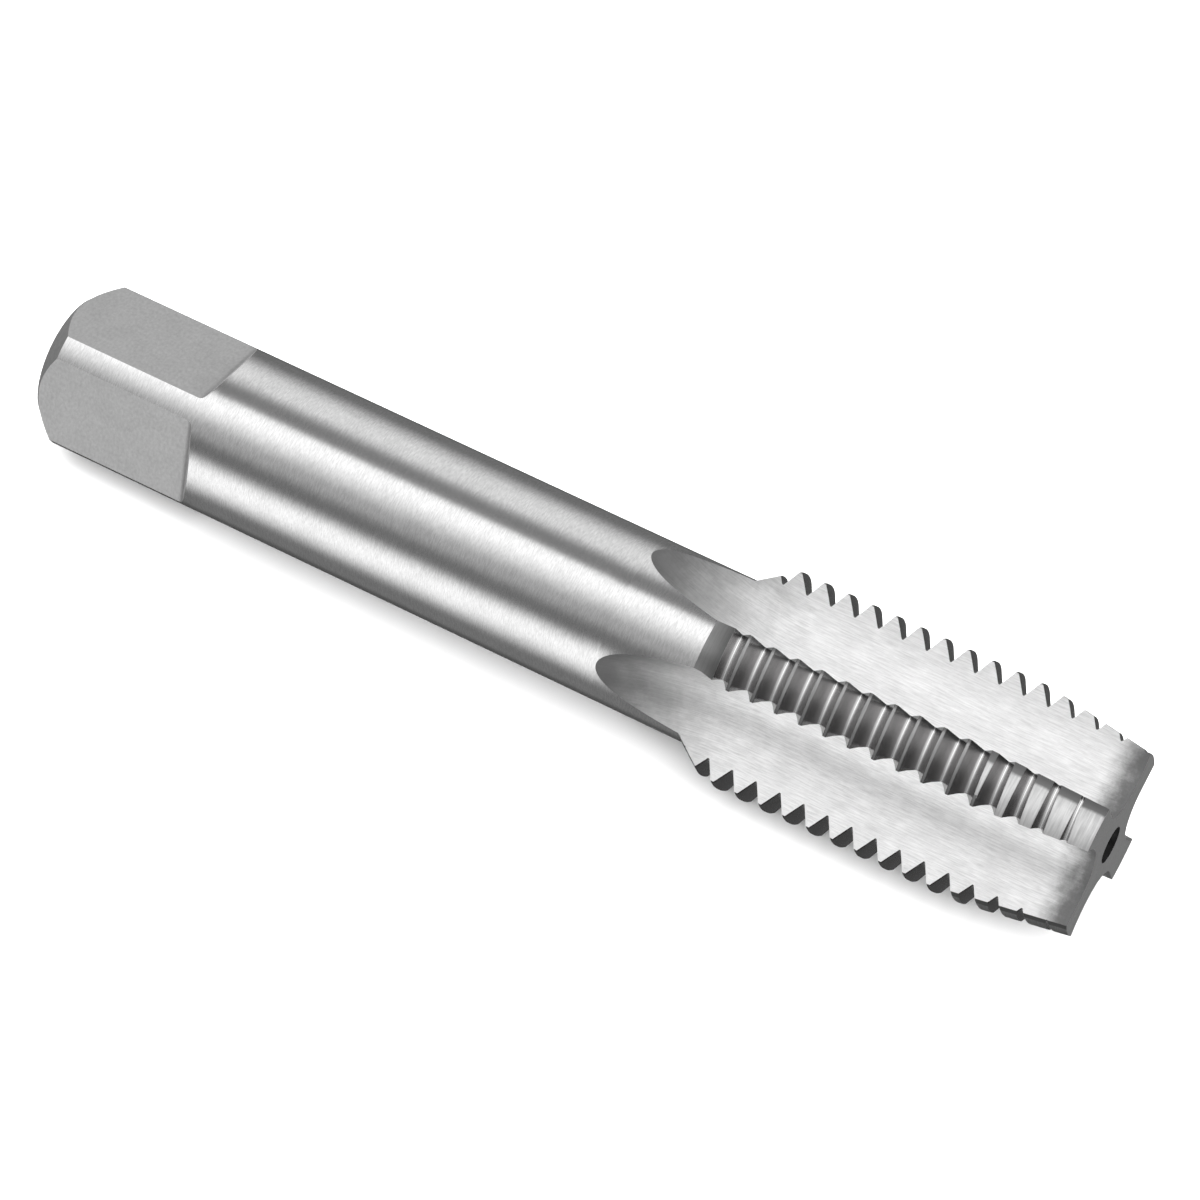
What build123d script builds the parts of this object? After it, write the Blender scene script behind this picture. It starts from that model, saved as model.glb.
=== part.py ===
"""Hand tap M26 x 3: one ground piece of high speed steel.

The tap's axis is X. The origin is the centre of the flat face at the cutting end, the shank runs
back along -X to the drive square, and Z is up. Two of the four lands point down, so the tap lies on
them and on its shank.
"""
from build123d import *
from math import cos, radians, sin, tan
import os

# Overall
overall_length = 135.0
shank_diameter = 20.0
end_chamfer = 2.35  # 45 degree chamfer round the drive end

# Drive square
square_sides = 4
square_across_flats = 16.0
square_length = 20.6  # from the drive end to where a flat meets its shoulder
square_corner_direction = 45.0  # degrees about X from +Z, where one corner of the square points
shoulder_lean = 34.0  # degrees between a shoulder and a plane square to the axis
shoulder_radius = 1.0

# Thread
thread_diameter = 26.0
thread_pitch = 3.0
thread_length = 44.3  # full-diameter turns and taper, from the cutting end to the cone step
thread_depth = 1.95
crest_flat = 0.375
flank_half_angle = 30.0
thread_start = 0.12  # X of a root on the middle of the first land, before whole turns are taken off
cone_half_angle = 35.0  # step from the shank up to the thread

# Lead taper on the first turns, ground lower at the back of each land
taper_length = 14.0
taper_end_diameter = 21.75
taper_relief = 0.5  # drop from the cutting edge to the back of a land

# Lands and flutes
land_count = 4
first_land_direction = 45.0  # degrees about X from +Z
land_angle = 29.0  # width of a land at its crest
hook_angle = 23.0  # lean of the cutting face at the crest
face_radius = 7.9  # hollow of the cutting face
heel_slope = 8.2  # between a land's back wall and the middle of the land
corner_radius = 4.6  # where the back wall meets the next land's cutting face
flute_length = 39.8  # full depth, from the cutting end
wheel_radius = 40.0  # of the grinding wheel, which leaves the flute's run-out
wheel_direction = 40.0  # from the middle of the land that the wheel's cutting face belongs to
wheel_arc = 60.0  # part of the wheel that cuts, more than it takes to leave the shank

# Centre holes
centre_hole_diameter = 4.4
centre_angle = 60.0
pilot_diameter = 2.0
pilot_depth = 5.0

# How far a cutting shape stands clear of the blank
clearance = 1.0

# Worked out from the sizes above
shank_radius = shank_diameter / 2
thread_radius = thread_diameter / 2
root_radius = thread_radius - thread_depth
cone_length = (thread_radius - shank_radius) / tan(radians(cone_half_angle))
land_step = 360 / land_count
half_land = land_angle / 2


def station(x, turn=0.0):
    """Plane square to the axis at x; its own X points turn degrees about the axis from +Z."""
    angle = radians(turn)
    return Plane(origin=(x, 0, 0), x_dir=(0, -sin(angle), cos(angle)), z_dir=(1, 0, 0))


def side(turn, origin=(0, 0, 0)):
    """Plane along the axis: its own X is the tap's, its own Y points turn degrees from +Z."""
    angle = radians(turn)
    return Plane(origin=origin, x_dir=(1, 0, 0), z_dir=(0, -cos(angle), -sin(angle)))


# A stretch of one thread groove, as wide as a land and a little more: a true right-hand helix
# about its own Z, with its middle towards its own X
groove_angle = land_angle + 20.0
groove_rise = thread_pitch * groove_angle / 360
root_flat = thread_pitch - crest_flat - 2 * thread_depth * tan(radians(flank_half_angle))
groove_height = thread_depth + clearance
groove_spread = groove_height * tan(radians(flank_half_angle))

with BuildPart() as groove:
    with BuildLine() as lead:
        Helix(thread_pitch, groove_rise, root_radius)
    with BuildSketch(Plane.XZ):
        with BuildLine():
            Polyline(
                (root_radius, -root_flat / 2),
                (root_radius + groove_height, -root_flat / 2 - groove_spread),
                (root_radius + groove_height, root_flat / 2 + groove_spread),
                (root_radius, root_flat / 2),
                close=True,
            )
        make_face()
    sweep(path=lead.wires()[0], is_frenet=True)
groove_middle = Location((0, 0, -groove_rise / 2), (0, 0, -groove_angle / 2))

# Circle of the cutting face, seen along the axis with the middle of its land as X: it passes
# through the crest edge and leans forward there by the hook
lean = radians(half_land + hook_angle)
edge_x = thread_radius * cos(radians(half_land))
edge_y = thread_radius * sin(radians(half_land))
face_centre = (edge_x - face_radius * sin(lean), edge_y + face_radius * cos(lean))

# Back wall of the next land, in the same view: a point on its crest edge and its direction
heel_angle = radians(land_step - half_land)
heel_point = (thread_radius * cos(heel_angle), thread_radius * sin(heel_angle))
heel_direction = land_step - heel_slope

with BuildPart() as tap:
    # Blank, turned
    with BuildSketch(side(0)):
        with BuildLine():
            Polyline(
                (-overall_length, 0),
                (-overall_length, shank_radius - end_chamfer),
                (-overall_length + end_chamfer, shank_radius),
                (-thread_length - cone_length, shank_radius),
                (-thread_length, thread_radius),
                (0, thread_radius),
                (0, 0),
                close=True,
            )
        make_face()
    revolve(axis=Axis.X)

    # Drive square: four flats with leaning shoulders
    flat = square_across_flats / 2
    flat_end = -overall_length + square_length
    flat_top = shank_radius + clearance
    side_step = 360 / square_sides
    for number in range(square_sides):
        facing = square_corner_direction + side_step * (number + 0.5)
        with BuildSketch(side(facing)) as flat_cut:
            with BuildLine():
                Polyline(
                    (-overall_length - clearance, flat),
                    (flat_end, flat),
                    (flat_end + (flat_top - flat) * tan(radians(shoulder_lean)), flat_top),
                    (-overall_length - clearance, flat_top),
                    close=True,
                )
            make_face()
            fillet(flat_cut.vertices().group_by(Axis.Y)[0].sort_by(Axis.X)[-1], shoulder_radius)
        extrude(amount=shank_radius, both=True, mode=Mode.SUBTRACT)

    # Flutes: straight, then out along the curve of the grinding wheel
    for land in range(land_count):
        direction = first_land_direction + land_step * land
        with BuildSketch(station(-flute_length, direction)) as flute:
            with Locations(face_centre):
                Circle(face_radius)
            with Locations(Location((*heel_point, 0), (0, 0, heel_direction))):
                Rectangle(
                    4 * thread_radius,
                    2 * thread_radius,
                    align=(Align.CENTER, Align.MIN),
                    mode=Mode.SUBTRACT,
                )
            fillet(flute.vertices().sort_by_distance((0, 0, 0))[0], corner_radius)
        core_radius = flute.sketch_local.distance_to(Vertex(0, 0, 0))
        flute_face = flute.sketch
        extrude(amount=flute_length + clearance, mode=Mode.SUBTRACT)
        wheel = station(-flute_length, direction + wheel_direction)
        wheel_centre = wheel.origin + wheel.x_dir * (core_radius + wheel_radius)
        wheel_axis = Axis(wheel_centre, -wheel.y_dir)
        revolve(flute_face, wheel_axis, revolution_arc=wheel_arc, mode=Mode.SUBTRACT)

    # Lead taper, land by land, about an axis set over towards the cutting edge
    relief_offset = taper_relief / (2 * sin(radians(half_land)))
    taper_slope = (thread_radius - taper_end_diameter / 2) / taper_length
    taper_run = taper_length + (clearance + relief_offset) / taper_slope
    for land in range(land_count):
        direction = first_land_direction + land_step * land
        relief_axis = Axis(station(0, direction).y_dir * relief_offset, (1, 0, 0))
        with BuildSketch(side(direction - land_step / 2, relief_axis.position)):
            with BuildLine():
                Polyline(
                    (clearance, taper_end_diameter / 2 - clearance * taper_slope),
                    (clearance, taper_end_diameter / 2 + taper_run * taper_slope),
                    (-taper_run, taper_end_diameter / 2 + taper_run * taper_slope),
                    close=True,
                )
            make_face()
        revolve(axis=relief_axis, revolution_arc=land_step, mode=Mode.SUBTRACT)

    # Thread grooves, land by land
    turns = int((thread_length + cone_length) / thread_pitch)
    places = []
    for land in range(land_count):
        start = thread_start + thread_pitch * land / land_count
        direction = first_land_direction + land_step * land
        for turn in range(1, turns + 1):
            places.append(station(start - thread_pitch * turn, direction).location * groove_middle)
    with Locations(*places):
        add(groove.part, mode=Mode.SUBTRACT)

    # Centre holes
    for end in (station(0), Plane(origin=(-overall_length, 0, 0), z_dir=(-1, 0, 0))):
        with Locations(end):
            CounterSinkHole(
                pilot_diameter / 2, centre_hole_diameter / 2, pilot_depth, centre_angle
            )

tap.part.label = "tap"
os.makedirs("parts", exist_ok=True)
export_step(tap.part, "parts/tap.step")
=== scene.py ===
"""Looks of the M26 x 3 hand tap: one ground piece of high speed steel.

Sizes below are in millimetres, and every mesh is turned to metres at the end. The tap's axis is X,
with the cutting end's flat face at X = 0. Angles turn about X from +Z, right-handed.
"""

import math

import bpy
import numpy as np
from mathutils import Matrix, Vector


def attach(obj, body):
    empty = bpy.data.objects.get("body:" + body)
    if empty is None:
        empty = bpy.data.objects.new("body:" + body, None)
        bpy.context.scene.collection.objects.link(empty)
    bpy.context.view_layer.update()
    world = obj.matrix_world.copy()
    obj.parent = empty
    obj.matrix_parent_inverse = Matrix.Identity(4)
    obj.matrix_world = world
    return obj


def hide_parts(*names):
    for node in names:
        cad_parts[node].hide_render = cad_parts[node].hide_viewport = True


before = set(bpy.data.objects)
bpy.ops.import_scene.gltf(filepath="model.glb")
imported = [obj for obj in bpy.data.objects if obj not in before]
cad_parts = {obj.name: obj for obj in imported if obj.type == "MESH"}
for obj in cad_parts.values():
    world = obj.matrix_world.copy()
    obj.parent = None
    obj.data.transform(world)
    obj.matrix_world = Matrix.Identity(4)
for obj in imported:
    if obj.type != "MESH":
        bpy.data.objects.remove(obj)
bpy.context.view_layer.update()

MM = 0.001
MICROMETRE = 1e-6

# Sizes of the tap, as in the solid
LENGTH = 135.0
SHANK_R = 10.0
END_CHAMFER = 2.35
FLAT = 8.0  # from the axis to a flat of the square
SQUARE_LENGTH = 20.6
FLAT_END = -LENGTH + SQUARE_LENGTH
SHOULDER_LEAN = math.radians(34)
SHOULDER_FILLET = 1.0
THREAD_R = 13.0
PITCH = 3.0
CREST_WIDTH = PITCH / 8
THREAD_DEPTH = 1.95
THREAD_END = -44.3
ROOT_R = THREAD_R - THREAD_DEPTH
FLANK = math.radians(30)
TAN_FLANK = math.tan(FLANK)
ROOT_HALF = (PITCH - CREST_WIDTH) / 2 - THREAD_DEPTH * TAN_FLANK  # half of the flat at a root
THREAD_START = 0.12
TAN_CONE = math.tan(math.radians(35))
CONE_END = THREAD_END - (THREAD_R - SHANK_R) / TAN_CONE
TAPER_R = 21.75 / 2
TAPER_LENGTH = 14.0
TAPER_SLOPE = (THREAD_R - TAPER_R) / TAPER_LENGTH
TAPER_RELIEF = 0.5  # fall of a land from its cutting edge to its heel
HALF_LAND = math.radians(14.5)
TAPER_OFFSET = TAPER_RELIEF / (2 * math.sin(HALF_LAND))
LANDS = 4
LAND_STEP = 2 * math.pi / LANDS
FIRST_LAND = math.radians(45)
HOOK = math.radians(23)
FACE_R = 7.9
HEEL_SLOPE = math.radians(8.2)
CORNER_R = 4.6
FLUTE_END = -39.8
WHEEL_R = 40.0
WHEEL_TURN = math.radians(40)
HOLE_R = 2.2
HOLE_CONE = math.radians(30)
PILOT_R = 1.0
PILOT_DEPTH = 5.0

# How finely the surfaces are divided
LAND_COLUMNS = 20
FLUTE_COLUMNS = 44
SECTION_STEPS = 1200  # along a flute's section, when looking for its deepest point
EDGE_SEARCH = 40  # halvings when looking for an edge
EDGE_ROUNDS = 10  # rounds in which an edge's X and angle settle together
MERGE_STEPS = 1e5  # steps to a millimetre; points that fall in the same step are one

# The skin's own measure, which a finish can follow round the tap: the length along a flute's
# section, and elsewhere the length round a circle
FLUTE_SPACING = 60.0  # added from flute to flute, so that no two look alike
FACE_MEASURE_R = 5.0  # circle on which the end faces are measured

# Ring of the front face, inside the flutes, from which spokes reach every point of its outline
# without crossing: its radius, and its angles at a heel, at a cutting edge and some way down
# the cutting face
SPOKE_R = 4.2
SPOKE_HEEL = math.radians(-10)
SPOKE_EDGE = math.radians(-8)
SPOKE_FACE = math.radians(24)
SPOKE_COLUMNS = 10


def turned(angle):
    """Unit vectors at an angle from the first axis: (cos, sin)."""
    return np.stack([np.cos(angle), np.sin(angle)], axis=-1)


# Flute section in a land's own view, with the middle of the land as first axis. It runs on past
# both crest edges, so that a search for them starts outside the blank
FACE_SPARE = 0.12  # turn of the face circle past its crest edge
WALL_SPARE = 1.0  # length of the back wall past its crest edge
FACE_CENTRE = THREAD_R * turned(HALF_LAND) + FACE_R * np.array(
    [-math.sin(HALF_LAND + HOOK), math.cos(HALF_LAND + HOOK)]
)
HEEL_POINT = THREAD_R * turned(LAND_STEP - HALF_LAND)
HEEL_LINE = turned(LAND_STEP - HEEL_SLOPE)
HEEL_NORMAL = np.array([-HEEL_LINE[1], HEEL_LINE[0]])


def corner_circle():
    """Centre of the corner's circle: inside the face circle, touching it and the heel line."""
    out = FACE_R - CORNER_R
    across = (FACE_CENTRE - HEEL_POINT) @ HEEL_NORMAL + CORNER_R
    along = -math.sqrt(out**2 - across**2)
    return FACE_CENTRE - across * HEEL_NORMAL + along * HEEL_LINE


CORNER_CENTRE = corner_circle()
CORE_R = math.hypot(*CORNER_CENTRE) - CORNER_R
EDGE_TURN = math.atan2(*(THREAD_R * turned(HALF_LAND) - FACE_CENTRE)[::-1]) + FACE_SPARE
CORNER_TURN = math.atan2(*(CORNER_CENTRE - FACE_CENTRE)[::-1])
if CORNER_TURN > EDGE_TURN:
    CORNER_TURN -= 2 * math.pi
LINE_TURN = math.atan2(*HEEL_NORMAL[::-1]) - 2 * math.pi
FACE_ARC = FACE_R * (EDGE_TURN - CORNER_TURN)
CORNER_ARC = CORNER_R * (CORNER_TURN - LINE_TURN)
LINE_START = CORNER_CENTRE + CORNER_R * HEEL_NORMAL
HEEL_RUN = float((HEEL_POINT - LINE_START) @ HEEL_LINE) + WALL_SPARE
PROFILE = FACE_ARC + CORNER_ARC + HEEL_RUN


def profile(t):
    """Flute section at length t along it: down the cutting face's circle, round the corner's
    circle, then up the straight back wall of the next land."""
    face = FACE_CENTRE + FACE_R * turned(EDGE_TURN - t / FACE_R)
    corner = CORNER_CENTRE + CORNER_R * turned(CORNER_TURN - (t - FACE_ARC) / CORNER_R)
    wall = LINE_START + (t - FACE_ARC - CORNER_ARC)[..., None] * HEEL_LINE
    in_face = (t < FACE_ARC)[..., None]
    in_corner = (t < FACE_ARC + CORNER_ARC)[..., None]
    return np.where(in_face, face, np.where(in_corner, corner, wall))


def flute(t, x):
    """Radius and angle of the flute at length t along its section and at X = x. Behind the full
    depth the section rises along the wheel's circle: by D - sqrt(D^2 - d^2), where D is the
    distance from the wheel's axis and d the distance behind the full depth."""
    point = profile(t)
    towards = turned(WHEEL_TURN)
    far = CORE_R + WHEEL_R - point @ towards
    behind = np.maximum(FLUTE_END - x, 0)
    rise = far - np.sqrt(np.maximum(far**2 - behind**2, 0))
    point = point + rise[..., None] * towards
    return np.hypot(point[..., 0], point[..., 1]), np.arctan2(point[..., 1], point[..., 0])


def deepest(x):
    """Length along the section where the flute is nearest to the axis, at each X."""
    t = np.linspace(0, PROFILE, SECTION_STEPS)
    radius = flute(np.broadcast_to(t, (*x.shape, t.size)), x[..., None])[0]
    return t[radius.argmin(axis=-1)]


def crossing(x, radius, heel):
    """Length along the section where the flute meets a given radius, on the cutting edge's side
    or on the heel's. Where it doesn't reach down to that radius, its deepest point."""
    low = deepest(x)
    inside = low.copy()
    outside = np.full_like(low, PROFILE if heel else 0.0)
    for _ in range(EDGE_SEARCH):
        middle = (inside + outside) / 2
        below = flute(middle, x)[0] < radius
        inside = np.where(below, middle, inside)
        outside = np.where(below, outside, middle)
    return np.where(flute(low, x)[0] < radius, (inside + outside) / 2, low)


def blank(x, angle):
    """Radius of the turned and taper-ground blank: the smallest of the thread's cylinder, the
    lead taper (a cone about an axis set over towards the cutting edge) and the cone step, and
    never less than the shank, whose end has a chamfer."""
    cone_r = TAPER_R - x * TAPER_SLOPE
    taper = TAPER_OFFSET * np.sin(angle) + np.sqrt(
        np.maximum(cone_r**2 - (TAPER_OFFSET * np.cos(angle)) ** 2, 0)
    )
    step = np.maximum(SHANK_R + (x - CONE_END) * TAN_CONE, SHANK_R)
    chamfer = SHANK_R - END_CHAMFER + (x + LENGTH)
    return np.minimum(np.minimum(np.minimum(THREAD_R, taper), step), chamfer)


# Thread groove: flanks that would meet at APEX_R, and a round root that touches both of them
APEX_R = ROOT_R - ROOT_HALF / TAN_FLANK
ROUND_R = 0.15
ROUND_HALF = ROUND_R * math.cos(FLANK)  # from the root's middle to where a flank starts


def land_radius(x, angle, start):
    """Blank cut by the thread's groove: a circle at the root, then flanks at 30 degrees."""
    shift = start + PITCH * angle / (2 * math.pi)
    away = np.abs((x - shift + PITCH / 2) % PITCH - PITCH / 2)
    rounded = APEX_R + 2 * ROUND_R - np.sqrt(ROUND_R**2 - np.minimum(away, ROUND_HALF) ** 2)
    groove = np.where(away < ROUND_HALF, rounded, APEX_R + away / TAN_FLANK)
    return np.minimum(blank(x, angle), groove)


# Rows of the thread, six to each half of the pitch. Lands are a quarter of a pitch apart, so the
# rows of all four fall on the same even steps
HALF_ROWS = 6
ROW_STEP = PITCH / (2 * HALF_ROWS)
thread_rows = np.arange(THREAD_START - ROW_STEP / 2, CONE_END + ROW_STEP / 4, -ROW_STEP)
ROUND_ROWS = (0.34, 0.72, 1.0)  # rows on half of the round root, as shares of ROUND_HALF
LEAST_FLANK = 0.15  # rows stay this far apart where a groove fades out
LEAST_GAP = 0.02
EDGE_BREAK = 0.03  # a crest's edge is broken by this much
FIRST_FLANK = 1.0  # width of a flank along X, to start its rounds from
FLANK_ROUNDS = 20  # rounds in which a flank's width and the blank over it settle together


def thread_x(angle, start):
    """X of every thread row at each angle of a land. A row keeps to its place on the groove:
    three on the round root, the middle of the flank, and both sides of the crest's broken edge,
    which moves towards the root where the blank is lower. All of them follow the helix."""
    nominal = thread_rows[:, None]
    root = start + PITCH * np.round((nominal - start) / PITCH)
    offset = nominal - root
    side = np.sign(offset)
    place = np.round(np.abs(offset) / ROW_STEP - 0.5).astype(int)
    middle = root + PITCH * angle / (2 * math.pi)
    reach = np.full_like(angle, ROOT_HALF + FIRST_FLANK)
    for _ in range(FLANK_ROUNDS):
        rise = blank(middle + side * reach, angle) - ROOT_R
        reach = np.maximum(ROOT_HALF + rise * TAN_FLANK, ROUND_HALF + LEAST_FLANK)
    away = np.choose(
        np.broadcast_to(place, reach.shape),
        [
            *(np.full_like(reach, share * ROUND_HALF) for share in ROUND_ROWS),
            (ROUND_HALF + reach) / 2,
            reach - EDGE_BREAK / 2,
            reach + EDGE_BREAK,
        ],
    )
    x = middle + side * away
    count = len(thread_rows)
    order = np.arange(count)[:, None]
    x = np.minimum(x, -LEAST_GAP * (order + 1))
    x = np.maximum(x, CONE_END + LEAST_GAP * (count - order))
    edge = np.full_like(x[:1], THREAD_END)
    return -np.sort(-np.concatenate([x, edge]), axis=0)


RUNOUT_REACH = 30.0  # the run-out is shorter than this


def runout_tip():
    """X where the rising flute leaves the shank, by halving."""
    near, far = CONE_END, CONE_END - RUNOUT_REACH
    for _ in range(EDGE_SEARCH):
        middle = np.array([(near + far) / 2])
        inside = flute(deepest(middle), middle)[0][0] < SHANK_R
        near, far = (middle[0], far) if inside else (near, middle[0])
    return near


# Where rows begin and end along the run-out, shank and square
TIP = runout_tip()
TIP_ANGLE = float(flute(deepest(np.array([TIP])), np.array([TIP]))[1][0])
SHOULDER = FLAT_END + (SHANK_R - FLAT) * math.tan(SHOULDER_LEAN)
FILLET_TANGENT = SHOULDER_FILLET * math.tan((math.pi / 2 - SHOULDER_LEAN) / 2)
FILLET_START = FLAT_END - FILLET_TANGENT
FILLET_STOP = FLAT_END + FILLET_TANGENT * math.sin(SHOULDER_LEAN)
CHAMFER_START = -LENGTH + END_CHAMFER
FLAT_GONE = -LENGTH + END_CHAMFER - (SHANK_R - FLAT)

# Rows of each stretch, and how much they crowd where it curves away
RUNOUT_ROWS, RUNOUT_CROWD = 46, 1.8
SHANK_ROWS = 18
SHOULDER_ROWS, SHOULDER_CROWD = 8, 2.0
FILLET_ROWS = 6
FLAT_ROWS = 8
CHAMFER_ROWS, CHAMFER_CROWD = 9, 2.0
END_ROWS = 2


def spread(first, last, count, power=1.0):
    """Steps from first to last, closer together near last as power grows. First is left out."""
    share = np.arange(1, count + 1) / count
    return last + (first - last) * (1 - share) ** power


def flat_height(x):
    """Distance from the axis to a flat: level, then a fillet, then the leaning shoulder."""
    rise = SHOULDER_FILLET**2 - np.clip(x - FILLET_START, 0, SHOULDER_FILLET) ** 2
    fillet = FLAT + SHOULDER_FILLET - np.sqrt(rise)
    shoulder = FLAT + (x - FLAT_END) / math.tan(SHOULDER_LEAN)
    return np.where(x < FILLET_START, FLAT, np.where(x < FILLET_STOP, fillet, shoulder))


runout_x = np.concatenate([[CONE_END], spread(CONE_END, TIP, RUNOUT_ROWS, RUNOUT_CROWD)])
shank_x = spread(TIP, SHOULDER, SHANK_ROWS)
square_x = np.concatenate(
    [
        spread(FILLET_STOP, SHOULDER, SHOULDER_ROWS, SHOULDER_CROWD)[:-1][::-1],
        [FILLET_STOP],
        spread(FILLET_STOP, FILLET_START, FILLET_ROWS),
        spread(FILLET_START, CHAMFER_START, FLAT_ROWS),
        spread(CHAMFER_START, FLAT_GONE, CHAMFER_ROWS, CHAMFER_CROWD),
        spread(FLAT_GONE, -LENGTH, END_ROWS),
    ]
)


def land_edges(x_of, rows):
    """Angles of the heel and the cutting edge of a land in each row, with the X of both. The
    angle, the radius there and the row's X depend on each other, so they settle in rounds."""
    heel = np.full((rows, 1), -HALF_LAND)
    edge = np.full((rows, 1), HALF_LAND)
    for _ in range(EDGE_ROUNDS):
        x, radius = x_of(heel)
        heel = flute(crossing(x, radius, True), x)[1] - LAND_STEP
        x, radius = x_of(edge)
        edge = flute(crossing(x, radius, False), x)[1]
    return heel, edge


def land_surface(start):
    """One land from the cutting end to the run-out's tip: X, radius and angle of each point."""

    def place(angle):
        threaded = thread_x(angle[1 : 1 + len(thread_rows)], start)
        runout = np.broadcast_to(runout_x[:, None], (len(runout_x), angle.shape[1]))
        x = np.concatenate([np.zeros_like(threaded[:1]), threaded, runout])
        return x, land_radius(x, angle, start)

    rows = 2 + len(thread_rows) + len(runout_x)
    heel, edge = land_edges(place, rows)
    heel[-1], edge[-1] = TIP_ANGLE - LAND_STEP, TIP_ANGLE
    share = np.linspace(0, 1, LAND_COLUMNS + 1)
    angle = heel + (edge - heel) * share
    x, radius = place(angle)
    return x, radius, angle


def side_by_side(groups):
    """Groups of columns as one array each of X, radius, angle and measure. The last column of a
    group is the first one of the next, so it is left out."""
    return [np.concatenate([part[:, :-1] for part in parts], axis=1) for parts in zip(*groups)]


def lands_and_flutes():
    """Rings from the cutting end to the run-out's tip: each land, then the flute after it, which
    goes from the land's cutting edge to the next land's heel."""
    lands = [land_surface(THREAD_START + PITCH * land / LANDS) for land in range(LANDS)]
    share = np.linspace(0, 1, FLUTE_COLUMNS + 1)
    groups = []
    for land, (x, radius, angle) in enumerate(lands):
        next_x, next_r, _ = lands[(land + 1) % LANDS]
        turn = FIRST_LAND + LAND_STEP * land
        t_edge = crossing(x[:, -1], radius[:, -1], False)[:, None]
        t_heel = crossing(next_x[:, 0], next_r[:, 0], True)[:, None]
        t_edge[-1] = t_heel[-1] = deepest(np.array([TIP]))
        t = t_edge + (t_heel - t_edge) * share
        flute_x = x[:, -1:] + (next_x[:, :1] - x[:, -1:]) * share
        flute_r, flute_a = flute(t, flute_x)
        flute_r[:, 0], flute_a[:, 0] = radius[:, -1], angle[:, -1]
        groups.append((x, radius, angle + turn, angle * SHANK_R))
        groups.append((flute_x, flute_r, flute_a + turn, t + FLUTE_SPACING * land))
    return side_by_side(groups)


def shank_and_square():
    """Rings from the run-out's tip to the drive end. The square's flats take the flutes' columns,
    which come together in one point of each ring along the shank."""
    x = np.concatenate([shank_x, square_x])[:, None]
    radius = blank(x, np.zeros_like(x))
    height = np.minimum(flat_height(x), radius)
    half = np.where(x < SHOULDER, np.arccos(np.clip(height / radius, -1, 1)), 0.0)
    half[: len(shank_x)] = 0.0
    along_shank = (shank_x - TIP) / (SHOULDER - TIP)
    middle = np.concatenate(
        [
            TIP_ANGLE + (LAND_STEP / 2 - TIP_ANGLE) * along_shank,
            np.full(len(square_x), LAND_STEP / 2),
        ]
    )[:, None]
    low, high = middle - LAND_STEP + half, middle - half
    angle = low + (high - low) * np.linspace(0, 1, LAND_COLUMNS + 1)
    across = radius * np.sin(half) * np.linspace(-1, 1, FLUTE_COLUMNS + 1)
    flat_r = np.where(half > 0, np.hypot(height, across), radius)
    flat_a = middle + np.where(half > 0, np.arctan2(across, height), 0)
    corner_x, corner_r = np.broadcast_to(x, angle.shape), np.broadcast_to(radius, angle.shape)
    flat_x = np.broadcast_to(x, across.shape)
    groups = []
    for land in range(LANDS):
        turn = FIRST_LAND + LAND_STEP * land
        groups.append((corner_x, corner_r, angle + turn, angle * SHANK_R))
        groups.append((flat_x, flat_r, flat_a + turn, across + FLUTE_SPACING * land))
    return side_by_side(groups)


# Centre hole in the front face, from its bottom up: X and radius of each ring
CONE_DEPTH = (HOLE_R - PILOT_R) / math.tan(HOLE_CONE)
CENTRE_HOLE = np.array(
    [
        [-PILOT_DEPTH, 0.0],
        [-PILOT_DEPTH, PILOT_R],
        [-(PILOT_DEPTH + CONE_DEPTH) / 2, PILOT_R],
        [-CONE_DEPTH, PILOT_R],
        [-CONE_DEPTH / 2, (PILOT_R + HOLE_R) / 2],
        [0.0, HOLE_R],
    ]
)


def spoke_angles():
    """Angle of every column on the front face's ring, from which spokes reach past the flutes."""
    land_share = np.linspace(0, 1, LAND_COLUMNS + 1)[:-1]
    land_spokes = SPOKE_HEEL + (SPOKE_EDGE - SPOKE_HEEL) * land_share
    flute_spokes = np.interp(
        np.arange(FLUTE_COLUMNS),
        [0, SPOKE_COLUMNS, FLUTE_COLUMNS],
        [SPOKE_EDGE, SPOKE_FACE, SPOKE_HEEL + LAND_STEP],
    )
    one = np.concatenate([land_spokes, flute_spokes])
    return np.concatenate([one + FIRST_LAND + LAND_STEP * land for land in range(LANDS)])


def round_rings(places, angles):
    """Rings with an X and a radius each and the same angles in all, and their measure."""
    x, radius, angle = np.broadcast_arrays(places[:, :1], places[:, 1:], angles)
    return [x, radius, angle, angle * FACE_MEASURE_R]


def whole_surface():
    """Every ring of the tap as arrays of X, radius, angle and measure, row by row from the bottom
    of the front centre hole to the bottom of the rear one, and the rows of each part."""
    front, back = lands_and_flutes(), shank_and_square()
    cap = round_rings(np.vstack([CENTRE_HOLE, [0.0, SPOKE_R]]), spoke_angles())
    end = round_rings(CENTRE_HOLE[::-1] * [-1, 1] - [LENGTH, 0], back[2][-1])
    parts = (cap, front, back, end)
    return [np.concatenate(arrays) for arrays in zip(*parts)], [len(part[0]) for part in parts]


def cell_corners(values):
    """Values at the four corners of every cell between two rings, in order round the cell."""
    beside = np.roll(values, -1, axis=1)
    return np.stack([values[:-1], values[1:], beside[1:], beside[:-1]], axis=-1).reshape(-1, 4)


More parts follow.
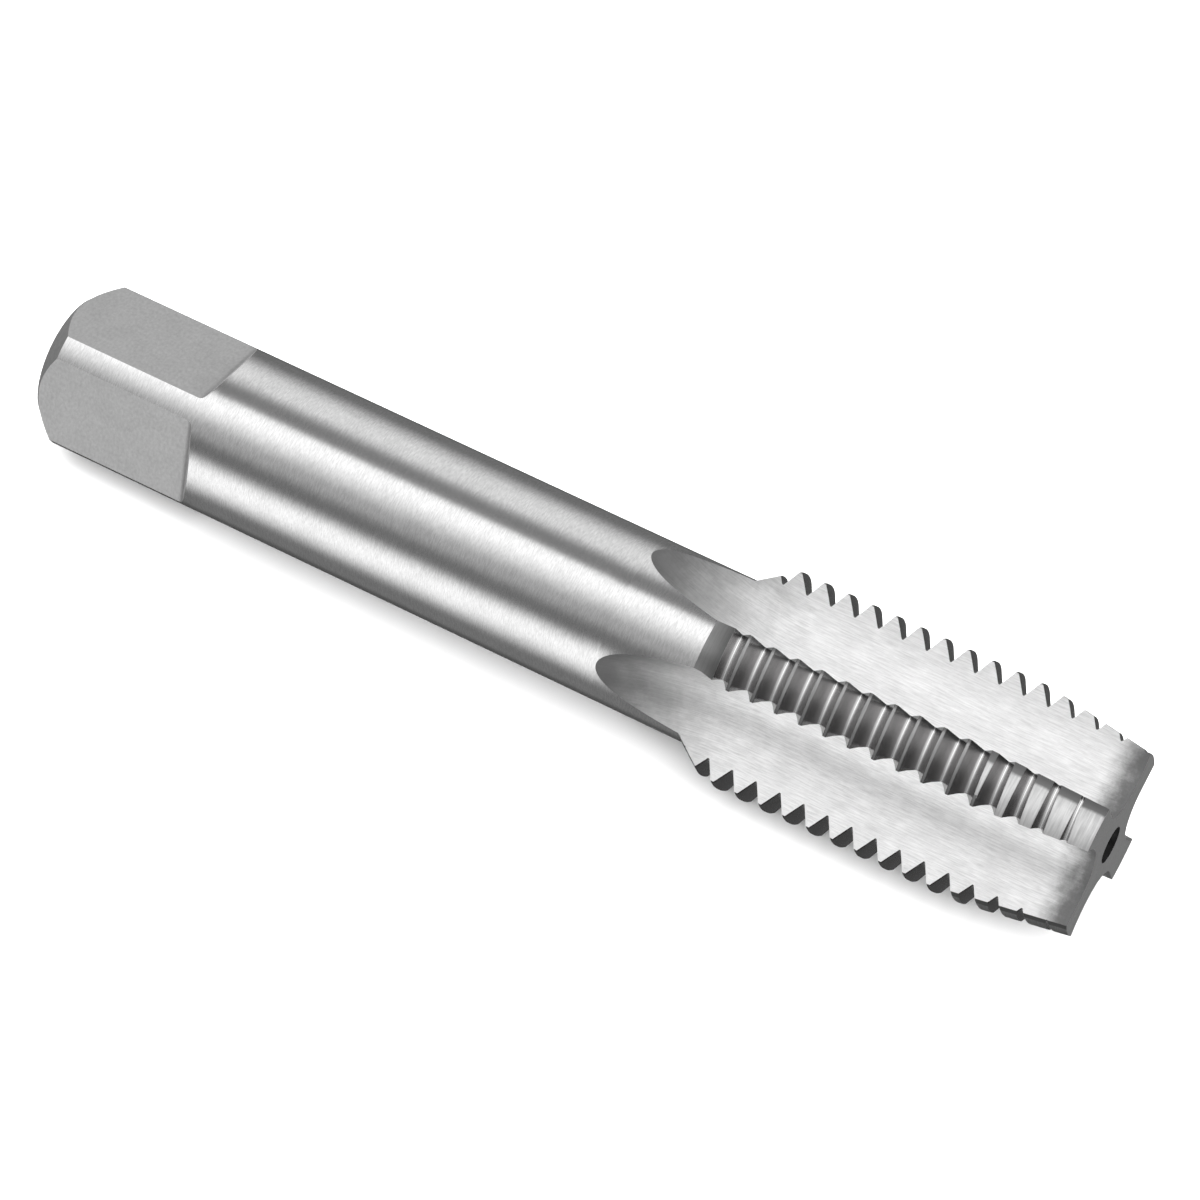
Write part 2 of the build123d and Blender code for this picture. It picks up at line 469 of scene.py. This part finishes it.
def closed_mesh(name, x, radius, angle, measure):
    """Rings of points joined by quads into one closed skin. Points that fall together are made
    one, and a quad that loses corners that way becomes a triangle or goes. Returns the mesh and
    which cells of the grid are left in it."""
    points = np.stack([x, -radius * np.sin(angle), radius * np.cos(angle)], axis=-1).reshape(-1, 3)
    steps = np.round(points * MERGE_STEPS).astype(np.int64)
    _, first, same = np.unique(steps, axis=0, return_index=True, return_inverse=True)
    corners = cell_corners(same.reshape(x.shape))
    uv = np.stack([cell_corners(x), cell_corners(measure)], axis=-1) * MM
    keep = corners != np.roll(corners, -1, axis=1)
    whole = keep.sum(axis=1) > 2
    keep &= whole[:, None]
    totals = keep.sum(axis=1)[whole]
    begins = np.concatenate([[0], np.cumsum(totals)[:-1]])
    mesh = bpy.data.meshes.new(name)
    mesh.vertices.add(len(first))
    mesh.vertices.foreach_set("co", (points[first] * MM).ravel())
    mesh.loops.add(int(totals.sum()))
    mesh.loops.foreach_set("vertex_index", corners[keep].astype(np.int32))
    mesh.polygons.add(len(totals))
    mesh.polygons.foreach_set("loop_start", begins.astype(np.int32))
    mesh.update(calc_edges=True)
    mesh.uv_layers.new(name="along_and_round").data.foreach_set("uv", uv[keep].ravel())
    # Place across a land, from its heel, for the finishes of the lands
    one = np.concatenate(
        [np.arange(LAND_COLUMNS) / LAND_COLUMNS, [1.0], np.full(FLUTE_COLUMNS - 1, 0.5)]
    )
    across = np.broadcast_to(np.tile(one, LANDS), x.shape).ravel()[first]
    mesh.attributes.new("across_land", "FLOAT", "POINT").data.foreach_set("value", across)
    return mesh, whole


(grid_x, grid_r, grid_a, grid_t), row_groups = whole_surface()
tap_mesh, kept_cells = closed_mesh("tap_skin", grid_x, grid_r, grid_a, grid_t)


# Finishes
def linear(hex_colour):
    """sRGB hex to linear RGBA, by the standard curve."""
    parts = np.array([int(hex_colour[i : i + 2], 16) / 255 for i in (1, 3, 5)])
    parts = np.where(parts <= 0.04045, parts / 12.92, ((parts + 0.055) / 1.055) ** 2.4)
    return (*parts.tolist(), 1.0)


def node(tree, kind, inputs=None, **settings):
    """Adds one node with its settings. Each input, by its name or number, gets a value or a link
    from another node's output. Returns the new node's outputs."""
    made = tree.nodes.new("ShaderNode" + kind)
    for name, value in settings.items():
        setattr(made, name, value)
    for socket, value in (inputs or {}).items():
        if isinstance(value, bpy.types.NodeSocket):
            tree.links.new(value, made.inputs[socket])
        else:
            made.inputs[socket].default_value = value
    return made.outputs


# What all finishes share. Noise keeps mostly between NOISE_LOW and NOISE_HIGH
NOISE_LOW, NOISE_HIGH = 0.35, 0.65
MARKS_DETAIL, MARKS_ROUGHNESS = 6.0, 0.65
CLOUDS_DETAIL, CLOUDS_ROUGHNESS = 5.0, 0.7
CLOUDS_PER_MM = 0.35  # patches of about 3 mm, from handling and from how the steel took the wheel
CLOUDS_SHARE = 0.25  # of the grey; the marks make the rest
ROUGHNESS_SWING = 0.06
BUMP_STRENGTH = 0.6
ALONG, ROUND = 0.0, 0.25  # lay of the marks, as turns from the tap's axis


def steel(name, dark, light, roughness, marks_per_mm, along="Object", depth=1.0, lay=(0.0, ALONG)):
    """A bare steel finish. Fine marks of its lay, so many per millimetre along X, Y and Z or along
    the skin's own measures, lie over slow clouds. Both set the grey and the roughness, and the
    marks set the bump, in micrometres. Lay is how much the finish smears reflections, and the
    direction of its marks, ALONG or ROUND. Returns the material, its coordinates and its clouds,
    for a stain, painted highlight or painted shade to build on."""
    material = bpy.data.materials.new(name)
    material.use_nodes = True
    tree = material.node_tree
    tree.nodes.clear()
    place = node(tree, "TexCoord")
    scale = [count / MM for count in marks_per_mm]
    marks_at = node(tree, "Mapping", {"Vector": place[along], "Scale": scale})["Vector"]
    marks = node(
        tree,
        "TexNoise",
        {
            "Vector": marks_at,
            "Scale": 1.0,
            "Detail": MARKS_DETAIL,
            "Roughness": MARKS_ROUGHNESS,
        },
    )["Fac"]
    clouds = node(
        tree,
        "TexNoise",
        {
            "Vector": place["Object"],
            "Scale": CLOUDS_PER_MM / MM,
            "Detail": CLOUDS_DETAIL,
            "Roughness": CLOUDS_ROUGHNESS,
        },
    )["Fac"]
    parts = [
        node(
            tree,
            "MapRange",
            {"Value": value, "From Min": NOISE_LOW, "From Max": NOISE_HIGH, "To Max": weight},
        )["Result"]
        for value, weight in ((marks, 1 - CLOUDS_SHARE), (clouds, CLOUDS_SHARE))
    ]
    share = node(tree, "Math", dict(enumerate(parts)), operation="ADD")["Value"]
    grey = node(
        tree, "Mix", {"Factor": share, "A": linear(dark), "B": linear(light)}, data_type="RGBA"
    )["Result"]
    rough = node(
        tree,
        "MapRange",
        {
            "Value": share,
            "To Min": roughness * (1 + ROUGHNESS_SWING),
            "To Max": roughness * (1 - ROUGHNESS_SWING),
        },
    )["Result"]
    bump = node(
        tree,
        "Bump",
        {"Height": marks, "Strength": BUMP_STRENGTH, "Distance": depth * MICROMETRE},
    )["Normal"]
    smear, turn = lay
    look = {
        "Metallic": 1.0,
        "Anisotropic": smear,
        "Anisotropic Rotation": turn,
        "Base Color": grey,
        "Roughness": rough,
        "Normal": bump,
    }
    if smear:
        look["Tangent"] = node(tree, "Tangent", direction_type="RADIAL", axis="X")["Tangent"]
    shader = node(tree, "BsdfPrincipled", look)["BSDF"]
    node(tree, "OutputMaterial", {"Surface": shader})
    return material, place, clouds


def paint_stain_or_light(material, factor, colour):
    """Turns a finish towards a colour where factor says so, for real stains and for painted
    highlights and shade alike.
    """
    tree = material.node_tree
    base = tree.nodes["Principled BSDF"].inputs["Base Color"]
    mixed = node(
        tree,
        "Mix",
        {"Factor": factor, "A": base.links[0].from_socket, "B": linear(colour)},
        data_type="RGBA",
    )
    tree.links.new(mixed["Result"], base)


def stain_or_light_edge(tree, value, wobble, clouds, clean_and_full, unit=MM):
    """How far a stain, painted highlight or painted shade has set in: 0 where value is clean and 1
    where it is full, smooth between.
    The clouds push its edge about by as much as wobble. Lengths are in millimetres, unless unit
    says otherwise."""
    clean, full = clean_and_full
    pushed = {0: clouds, 1: wobble * unit, 2: value}
    value = node(tree, "Math", pushed, operation="MULTIPLY_ADD")[0]
    return node(
        tree,
        "MapRange",
        {"Value": value, "From Min": clean * unit, "From Max": full * unit},
        interpolation_type="SMOOTHSTEP",
    )["Result"]


# Real grinding marks are a few hundredths of a millimetre wide, too fine to show, so all marks are
# drawn 0.1 to 0.5 mm wide

# Cylindrical grinding leaves fine rings, which stretch the studio's light into soft bright bands
shank_steel, _, _ = steel(
    "ground_shank_steel", "#BEBEBE", "#DCDCDC", 0.24, (7, 1.2, 1.2), depth=1.6, lay=(0.6, ROUND)
)
# Milled flats are matt and an even grey, with a grain too fine to have a direction
square_steel, _, _ = steel("milled_square_steel", "#A0A0A0", "#B2B2B2", 0.52, (3, 2, 2), depth=4)
# Flutes are ground lengthwise with a coarse wheel: the brightest and most satin part
flute_steel, flute_place, flute_clouds = steel(
    "ground_flute_steel", "#DCDCDC", "#FFFFFF", 0.6, (0.4, 6, 0), "UV", depth=12, lay=(0.4, ALONG)
)
# Thread flanks come smooth from the thread grinder, dark where they only see one another
thread_steel, thread_place, thread_clouds = steel(
    "ground_thread_steel", "#A8A7A7", "#B8B7B7", 0.2, (3, 0.5, 0.5), depth=0.3
)
# Crests are left from the blank, duller than the flanks
crest_steel, _, crest_clouds = steel(
    "ground_crest_steel", "#7A7A7A", "#949494", 0.22, (4, 0.4, 0.4), lay=(0.3, ROUND)
)
# The taper's relief grinding leaves clear rings on a bright land
taper_steel, _, taper_clouds = steel(
    "ground_taper_steel", "#A6A6A6", "#CACACA", 0.38, (4, 0.3, 0.3), depth=2, lay=(0.5, ROUND)
)
# Turned cone, a dull grey from hardening
cone_steel, cone_place, cone_clouds = steel(
    "turned_cone_steel", "#9A9A9A", "#B0B0B0", 0.36, (5, 0.2, 0.2), lay=(0.5, ROUND)
)
# Faced ends are matt, with a fine grain and no shine
end_steel, _, _ = steel("faced_end_steel", "#B8B8B8", "#C8C8C8", 0.5, (3, 3, 3), depth=3)
# Drilled holes are painted near black, a painted shade for their depth
hole_steel, _, _ = steel("drilled_hole_steel", "#1C1C1C", "#303030", 0.5, (2, 2, 2), depth=3)

# Where each stain, painted highlight and painted shade is clean and where it is full, in
# millimetres
ROOT_PAINTED_HIGHLIGHT = (ROOT_R + 0.15, ROOT_R - 0.17)  # from the axis
SMUDGE = (-1.8, 2.2)  # along X, before the clouds push it back
RUNOUT_SHADE = (-37.5, -57.5)
CONE_SHADE = (CONE_END, THREAD_END)
PATCHY = 5.0  # how far the clouds push the smudge and the shade
HEEL_RAGGED = 0.08  # the same for the strips at the heels, as a share of a land's width

# Thread: a painted highlight, a bright line along the round roots
tree = thread_steel.node_tree
across_axis = node(
    tree, "VectorMath", {0: thread_place["Object"], 1: (0, 1, 1)}, operation="MULTIPLY"
)["Vector"]
off_axis = node(tree, "VectorMath", {0: across_axis}, operation="LENGTH")["Value"]
paint_stain_or_light(thread_steel, stain_or_light_edge(tree, off_axis, 0.0, thread_clouds, ROOT_PAINTED_HIGHLIGHT), "#DCDCDC")

# Lands: darker in a strip at the heel. Its width is a share of
# the land, and the clouds make its edge uneven
for finish, clouds, width, colour in (
    (thread_steel, thread_clouds, 0.07, "#747474"),
    (crest_steel, crest_clouds, 0.07, "#5E5E5E"),
    (taper_steel, taper_clouds, 0.21, "#747474"),
):
    tree = finish.node_tree
    across = node(tree, "Attribute", attribute_name="across_land")["Fac"]
    strip = (width + HEEL_RAGGED, width)
    paint_stain_or_light(finish, stain_or_light_edge(tree, across, HEEL_RAGGED, clouds, strip, unit=1.0), colour)

# Flutes: a patchy grey smudge at the cutting end, and painted shade, greyer, where they run out
tree = flute_steel.node_tree
along = node(tree, "SeparateXYZ", {"Vector": flute_place["Object"]})["X"]
paint_stain_or_light(flute_steel, stain_or_light_edge(tree, along, PATCHY, flute_clouds, SMUDGE), "#7C7C7C")
paint_stain_or_light(flute_steel, stain_or_light_edge(tree, along, PATCHY, flute_clouds, RUNOUT_SHADE), "#747474")

# Cone: painted shade, darker towards the thread
tree = cone_steel.node_tree
along = node(tree, "SeparateXYZ", {"Vector": cone_place["Object"]})["X"]
paint_stain_or_light(cone_steel, stain_or_light_edge(tree, along, 0.0, cone_clouds, CONE_SHADE), "#606060")

FINISHES = [
    shank_steel,
    square_steel,
    flute_steel,
    thread_steel,
    crest_steel,
    taper_steel,
    cone_steel,
    end_steel,
    hole_steel,
]
SHANK, SQUARE, FLUTE, THREAD, CREST, TAPER, CONE, END, HOLE = range(len(FINISHES))
CREST_TOLERANCE = 0.02  # a crest's cells lie this close to the blank
TAPER_TOLERANCE = 0.005  # and the taper's blank lies this far inside the thread's cylinder


def finish_numbers():
    """The finish of every cell of the grid, from its row, its column and its height."""
    rows, columns = grid_x.shape
    cap, front, _, hole = row_groups
    row, column = np.indices((rows - 1, columns))
    period = LAND_COLUMNS + FLUTE_COLUMNS
    in_land = column % period < LAND_COLUMNS
    x = (grid_x[:-1] + grid_x[1:]) / 2
    radius = (grid_r[:-1] + grid_r[1:]) / 2
    turn = FIRST_LAND + LAND_STEP * (column // period)
    top = blank(x, (grid_a[:-1] + grid_a[1:]) / 2 - turn)
    in_front = (row >= cap) & (row < cap + front)
    in_back = row >= cap + front
    threaded = in_front & in_land & (x > CONE_END)
    crest = threaded & (radius > top - CREST_TOLERANCE)
    flat = in_back & ~in_land & (x < SHOULDER)
    finish = np.full(row.shape, SHANK)
    finish[threaded] = THREAD
    finish[crest] = CREST
    finish[crest & (top < THREAD_R - TAPER_TOLERANCE)] = TAPER
    finish[crest & (x < THREAD_END)] = CONE
    finish[in_front & ~in_land] = FLUTE
    finish[flat] = SQUARE
    finish[flat & (x > FILLET_STOP)] = END
    finish[x < CHAMFER_START] = SQUARE
    finish[(row < cap) | (row >= rows - 1 - hole)] = END
    finish[(row < hole - 1) | (row >= rows - hole)] = HOLE
    return finish.reshape(-1)


SHARP_EDGE = math.radians(22)
for finish in FINISHES:
    tap_mesh.materials.append(finish)
tap_mesh.polygons.foreach_set("material_index", finish_numbers()[kept_cells].astype(np.int32))
tap_mesh.polygons.foreach_set("use_smooth", np.ones(len(tap_mesh.polygons), bool))
tap_mesh.set_sharp_from_angle(angle=SHARP_EDGE)
tap_mesh.update()
tap_skin = bpy.data.objects.new("tap_skin", tap_mesh)
bpy.context.scene.collection.objects.link(tap_skin)
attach(tap_skin, "root")
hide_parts("tap")

# Floor, touching the two low lands where the thread ends and the shank at its shoulder
LOW_LAND = THREAD_R * math.cos(FIRST_LAND - HALF_LAND)
FLOOR_SLOPE = (LOW_LAND - SHANK_R) / (THREAD_END - SHOULDER)
FLOOR_HALF = 3000.0  # half of its side


def floor_height(x):
    """Z of the floor at X = x: level across the tap, and rising evenly towards the shank."""
    return -LOW_LAND + (THREAD_END - x) * FLOOR_SLOPE


floor_mesh = bpy.data.meshes.new("floor")
floor_mesh.from_pydata(
    [
        (x * MM, y * MM, floor_height(x) * MM)
        for x, y in (
            (-FLOOR_HALF, -FLOOR_HALF),
            (FLOOR_HALF, -FLOOR_HALF),
            (FLOOR_HALF, FLOOR_HALF),
            (-FLOOR_HALF, FLOOR_HALF),
        )
    ],
    [],
    [(0, 1, 2, 3)],
)
floor = bpy.data.objects.new("floor", floor_mesh)
bpy.context.scene.collection.objects.link(floor)
# Matt paper, which gives the tap a plain white ground with a soft shadow
paper = bpy.data.materials.new("matt_white_paper")
paper.use_nodes = True
paper_shader = paper.node_tree.nodes["Principled BSDF"]
paper_shader.inputs["Base Color"].default_value = linear("#F4F4F4")
paper_shader.inputs["Roughness"].default_value = 0.9
floor_mesh.materials.append(paper)

# Studio. Reflections see soft boxes that run along the tap, as bright bands with dark gaps; the
# camera and the floor see plain white
# Boxes by angle about the tap's axis, in degrees up from the front horizon and over the top: where
# the light starts, is full, is still full and has gone, and its brightness
SOFT_BOXES = [
    (30, 66, 76, 84, 1.78),  # overhead
    (97, 118, 131, 175, 1.06),  # behind the tap
    (0, -25, -34, -77, 1.78),  # low, in front
    (8, 26, 38, 60, 0.38),  # front wall
    (-62, -80, -95, -112, 0.1),  # table
    (-100, -113, -150, -170, -0.08),  # shade under the tap, which takes light away
]
AMBIENT = 0.2  # light between the boxes
PLAIN_WHITE = 3.5
ENDS_START, ENDS_FULL = 0.45, 0.75  # share of a ray along X where the ends' dimming starts, is full
ENDS_LIGHT = 0.6  # what the dimming leaves of the light
END_SHADE = (0, 12, 45, 51)  # angles, as for a box, between which the ends are darker still
END_SHADE_DEPTH = 0.55


def studio():
    """World whose reflections depend on the angle about the tap's axis: the boxes' light added up,
    dimmer towards both ends, and dimmer still there between the angles of the end shade."""
    world = bpy.data.worlds.new("studio")
    world.use_nodes = True
    tree = world.node_tree
    tree.nodes.clear()
    ray = node(tree, "TexCoord")["Generated"]
    x, y, z = node(tree, "SeparateXYZ", {"Vector": ray})
    front = node(tree, "Math", {0: y, 1: -1.0}, operation="MULTIPLY")[0]
    turn = node(tree, "Math", {0: z, 1: front}, operation="ARCTAN2")[0]
    degrees = node(tree, "Math", {0: turn}, operation="DEGREES")[0]
    away = node(tree, "Math", {0: x}, operation="ABSOLUTE")[0]

    def band(start, full, still, gone):
        """1 from full to still, and 0 before start and after gone."""
        sides = [
            node(
                tree,
                "MapRange",
                {"Value": degrees, "From Min": low, "From Max": high},
                interpolation_type="SMOOTHSTEP",
            )["Result"]
            for low, high in ((start, full), (gone, still))
        ]
        return node(tree, "Math", dict(enumerate(sides)), operation="MULTIPLY")[0]

    light = AMBIENT
    for *angles, strength in SOFT_BOXES:
        parts = {0: band(*angles), 1: strength, 2: light}
        light = node(tree, "Math", parts, operation="MULTIPLY_ADD")[0]
    share = node(
        tree,
        "Math",
        {0: band(*END_SHADE), 1: -END_SHADE_DEPTH, 2: ENDS_LIGHT},
        operation="MULTIPLY_ADD",
    )[0]
    dimmed = node(tree, "Math", {0: light, 1: share}, operation="MULTIPLY")[0]
    ends = node(
        tree,
        "MapRange",
        {"Value": away, "From Min": ENDS_START, "From Max": ENDS_FULL},
        interpolation_type="SMOOTHSTEP",
    )["Result"]
    seen = node(tree, "Mix", {"Factor": ends, "A": light, "B": dimmed})["Result"]
    glossy = node(tree, "LightPath")["Is Glossy Ray"]
    shown = node(tree, "Mix", {"Factor": glossy, "A": PLAIN_WHITE, "B": seen})["Result"]
    background = node(tree, "Background", {"Strength": shown})["Background"]
    node(tree, "OutputWorld", {"Surface": background})
    return world


bpy.context.scene.world = studio()
floor.visible_glossy = False

# Camera. It looks at the tap from the front and above, turned a little towards the cutting end
CAMERA_LEAN = math.radians(48.01)  # from +Z towards the front
CAMERA_SWING = math.radians(16.435)  # towards the cutting end
CAMERA_ROLL = math.radians(25.157)  # about its line of sight
TAP_IN_VIEW = (61.884, 0.520, 556.962)  # the tap's origin to the right, down and ahead, unrolled
CAMERA_LENS = 152.955
CAMERA_NEAR = 0.01  # metres
tap_axis = Vector((1, 0, 0))
square_to_tap = Vector((0, -math.sin(CAMERA_LEAN), math.cos(CAMERA_LEAN)))
view_right = math.cos(CAMERA_SWING) * tap_axis - math.sin(CAMERA_SWING) * square_to_tap
view_down = tap_axis.cross(square_to_tap)
view_ahead = -math.sin(CAMERA_SWING) * tap_axis - math.cos(CAMERA_SWING) * square_to_tap
view_axes = Matrix((view_right, view_down, view_ahead)).transposed()
camera_at = -(view_axes @ Vector(TAP_IN_VIEW)) * MM
camera_right = math.cos(CAMERA_ROLL) * view_right - math.sin(CAMERA_ROLL) * view_down
camera_up = -(math.sin(CAMERA_ROLL) * view_right + math.cos(CAMERA_ROLL) * view_down)
camera_axes = Matrix((camera_right, camera_up, -view_ahead)).transposed()
camera_data = bpy.data.cameras.new("camera")
camera_data.lens = CAMERA_LENS
camera_data.clip_start = CAMERA_NEAR
camera = bpy.data.objects.new("camera", camera_data)
camera.matrix_world = Matrix.Translation(camera_at) @ camera_axes.to_4x4()
bpy.context.scene.collection.objects.link(camera)
bpy.context.scene.camera = camera
bpy.context.scene.view_settings.view_transform = "Standard"
